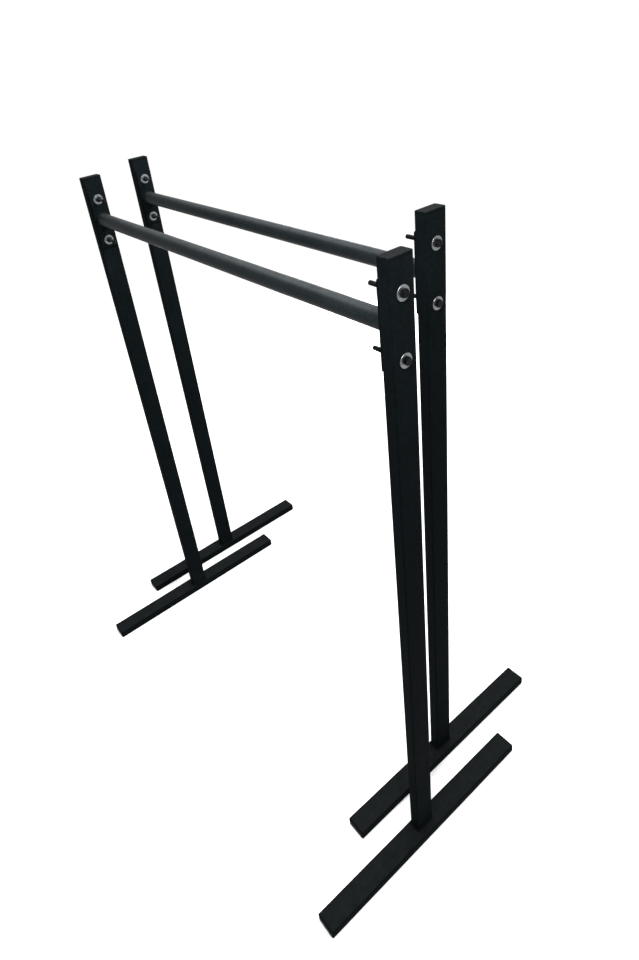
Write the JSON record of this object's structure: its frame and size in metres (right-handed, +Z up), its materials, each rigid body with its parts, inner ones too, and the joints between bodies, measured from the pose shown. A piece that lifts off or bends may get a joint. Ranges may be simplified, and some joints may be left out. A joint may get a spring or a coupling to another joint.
{
  "type": "parallel exercise bars",
  "caption": "Pair of free-standing high parallel exercise bars: round grip bar bolted between rectangular-tube uprights, each welded to a flat foot.",
  "frame": {"origin": "on the floor, at the middle of the box around the pair", "axes": "+Z up, +Y along both bars towards the left ends, +X across the bars from the front frame to the rear one"},
  "size_m": [0.83, 1.269, 1.486],
  "materials": {
    "frame_coat": "satin black powder coat on steel",
    "grip_coat": "fine-textured dark grey powder coat on steel",
    "cap_plastic": "moulded black polyethylene, matte",
    "bolt_black": "black oxide on steel",
    "zinc": "bright zinc plate on steel"
  },
  "bodies": {
    "front_frame": {"front_bar": "grip_coat", "front_left_upright": "frame_coat", "front_left_foot": "frame_coat", "front_left_bar_plate": "frame_coat", "front_left_top_cap": "cap_plastic", "front_left_toe_cap": "cap_plastic", "front_left_heel_cap": "cap_plastic", "front_left_upper_bolt": "bolt_black", "front_left_upper_outer_washer": "zinc", "front_left_upper_inner_washer": "zinc", "front_left_upper_nut": "zinc", "front_left_lower_bolt": "bolt_black", "front_left_lower_outer_washer": "zinc", "front_left_lower_inner_washer": "zinc", "front_left_lower_nut": "zinc", "front_right_upright": "frame_coat", "front_right_foot": "frame_coat", "front_right_bar_plate": "frame_coat", "front_right_top_cap": "cap_plastic", "front_right_toe_cap": "cap_plastic", "front_right_heel_cap": "cap_plastic", "front_right_upper_bolt": "bolt_black", "front_right_upper_outer_washer": "zinc", "front_right_upper_inner_washer": "zinc", "front_right_upper_nut": "zinc", "front_right_lower_bolt": "bolt_black", "front_right_lower_outer_washer": "zinc", "front_right_lower_inner_washer": "zinc", "front_right_lower_nut": "zinc"},
    "rear_frame": {"rear_bar": "grip_coat", "rear_left_upright": "frame_coat", "rear_left_foot": "frame_coat", "rear_left_bar_plate": "frame_coat", "rear_left_top_cap": "cap_plastic", "rear_left_toe_cap": "cap_plastic", "rear_left_heel_cap": "cap_plastic", "rear_left_upper_bolt": "bolt_black", "rear_left_upper_outer_washer": "zinc", "rear_left_upper_inner_washer": "zinc", "rear_left_upper_nut": "zinc", "rear_left_lower_bolt": "bolt_black", "rear_left_lower_outer_washer": "zinc", "rear_left_lower_inner_washer": "zinc", "rear_left_lower_nut": "zinc", "rear_right_upright": "frame_coat", "rear_right_foot": "frame_coat", "rear_right_bar_plate": "frame_coat", "rear_right_top_cap": "cap_plastic", "rear_right_toe_cap": "cap_plastic", "rear_right_heel_cap": "cap_plastic", "rear_right_upper_bolt": "bolt_black", "rear_right_upper_outer_washer": "zinc", "rear_right_upper_inner_washer": "zinc", "rear_right_upper_nut": "zinc", "rear_right_lower_bolt": "bolt_black", "rear_right_lower_outer_washer": "zinc", "rear_right_lower_inner_washer": "zinc", "rear_right_lower_nut": "zinc"}
  },
  "joints": [
    {"name": "frame_spacing", "type": "slide", "parent": "front_frame", "child": "rear_frame", "axis": [1, 0, 0], "range_m": [-0.1, 0.45]}
  ]
}
